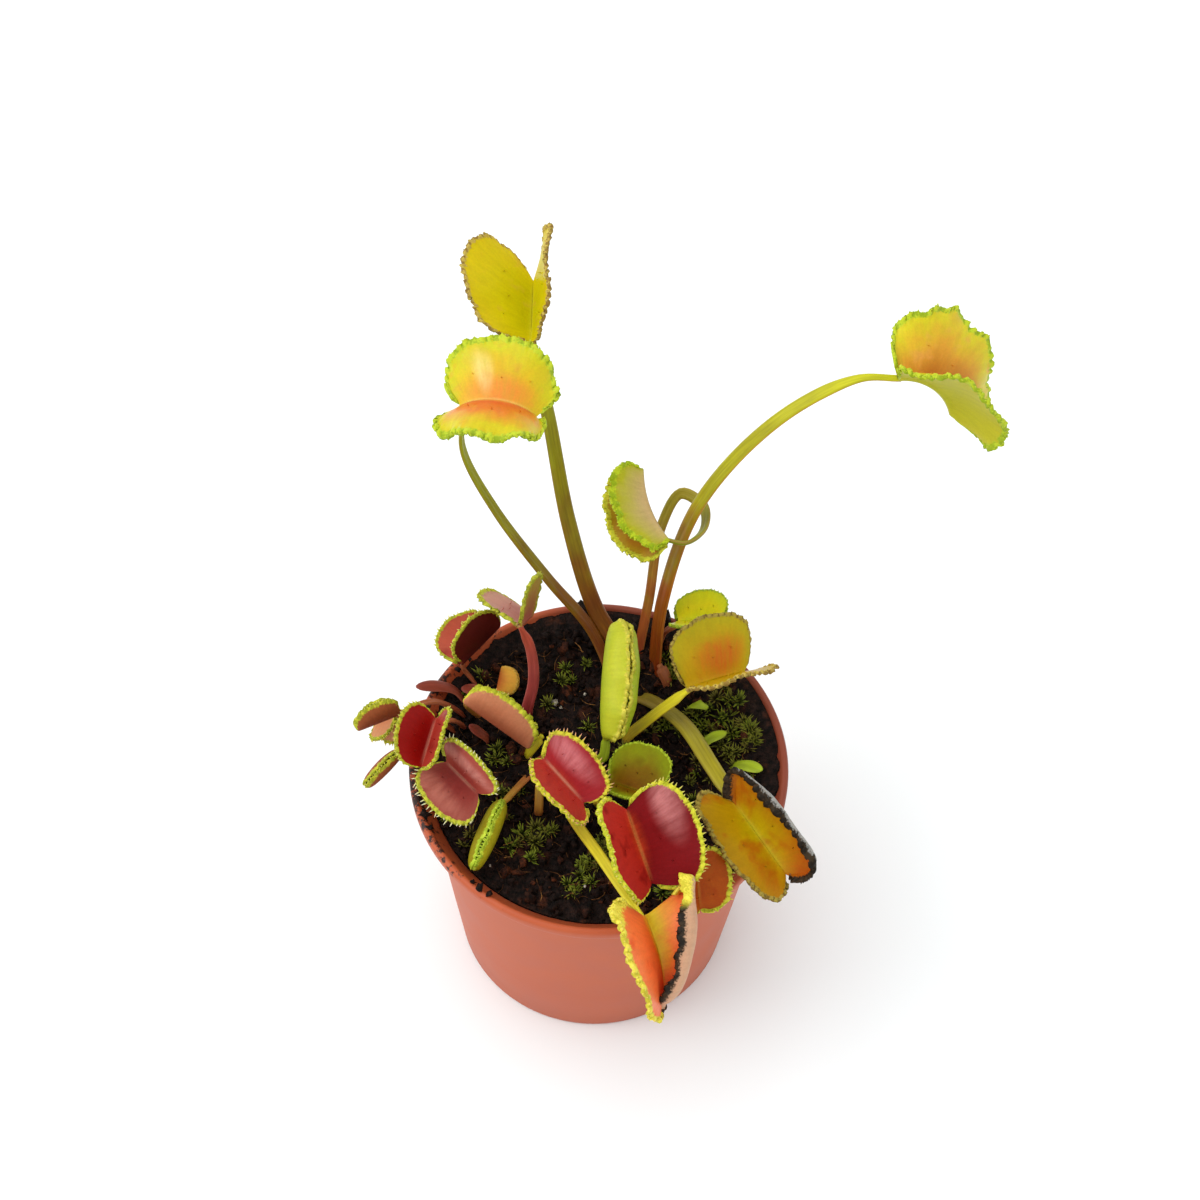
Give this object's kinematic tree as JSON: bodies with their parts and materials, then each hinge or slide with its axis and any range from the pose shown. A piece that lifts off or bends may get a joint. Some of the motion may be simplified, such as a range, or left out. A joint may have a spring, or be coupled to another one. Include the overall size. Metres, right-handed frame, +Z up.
{
  "type": "potted venus flytrap",
  "caption": "Small nursery pot of peat with a Venus flytrap: toothed two-lobed snap traps, some open and some closed, on flat leaf stalks of mixed height.",
  "frame": {"origin": "middle of the pot's flat underside, on the surface that it stands on", "axes": "+Z up along the pot's axis; -Y towards the front, from which the picture looks down; +X to the right"},
  "size_m": [0.1397, 0.1514, 0.1588],
  "materials": {
    "pot": "terracotta coloured moulded polypropylene, satin",
    "peat": "damp crumbly peat with moss, matte",
    "leaf_red": "waxy crimson leaf, glossy",
    "leaf_maroon": "waxy maroon leaf, satin",
    "leaf_orange": "waxy orange leaf with a lime margin, satin",
    "leaf_amber": "waxy amber leaf, satin",
    "leaf_lime": "waxy lime leaf, satin",
    "leaf_olive": "waxy olive leaf stalk, satin",
    "leaf_rust": "reddish brown leaf stalk, satin"
  },
  "bodies": {
    "root": {"stalk_tall_back": "leaf_olive", "trap_tall_back": "leaf_amber", "stalk_tall_left": "leaf_olive", "trap_tall_left": "leaf_orange", "stalk_tall_right": "leaf_olive", "trap_tall_right": "leaf_orange", "stalk_curled": "leaf_rust", "trap_curled": "leaf_lime", "stalk_closed_green": "leaf_olive", "trap_closed_green": "leaf_lime", "stalk_right_open": "leaf_olive", "trap_right_open": "leaf_amber", "stalk_right_back": "leaf_rust", "trap_right_back": "leaf_lime", "stalk_rim_right": "leaf_lime", "trap_rim_right": "leaf_amber", "stalk_rim_front": "leaf_lime", "trap_rim_front": "leaf_orange", "stalk_centre_red": "leaf_rust", "trap_centre_red": "leaf_red", "stalk_front_red": "leaf_olive", "trap_front_red": "leaf_red", "stalk_behind_red": "leaf_rust", "trap_behind_red": "leaf_orange", "stalk_centre_green": "leaf_olive", "trap_centre_green": "leaf_olive", "stalk_left_back_dark": "leaf_rust", "trap_left_back_dark": "leaf_red", "stalk_left_back_pink": "leaf_rust", "trap_left_back_pink": "leaf_maroon", "stalk_left_red": "leaf_rust", "trap_left_red": "leaf_red", "stalk_left_low_red": "leaf_rust", "trap_left_low_red": "leaf_maroon", "stalk_far_left": "leaf_rust", "trap_far_left": "leaf_maroon", "stalk_far_left_low": "leaf_rust", "trap_far_left_low": "leaf_maroon", "stalk_left_tip": "leaf_rust", "trap_left_tip": "leaf_maroon", "stalk_left_closed": "leaf_rust", "trap_left_closed": "leaf_maroon", "stalk_front_closed": "leaf_rust", "trap_front_closed": "leaf_olive", "stalk_young_bud": "leaf_rust", "trap_young_bud": "leaf_orange", "stub": "leaf_rust", "bud_orange": "leaf_orange", "bud_brown": "leaf_rust", "leaf_over_rim": "leaf_maroon", "leaf_left_back": "leaf_maroon", "leaf_left_low": "leaf_maroon", "leaf_right": "leaf_lime", "leaf_right_back": "leaf_olive", "leaf_under_trap": "leaf_lime", "peat": "peat", "pot": "pot"}
  },
  "joints": []
}
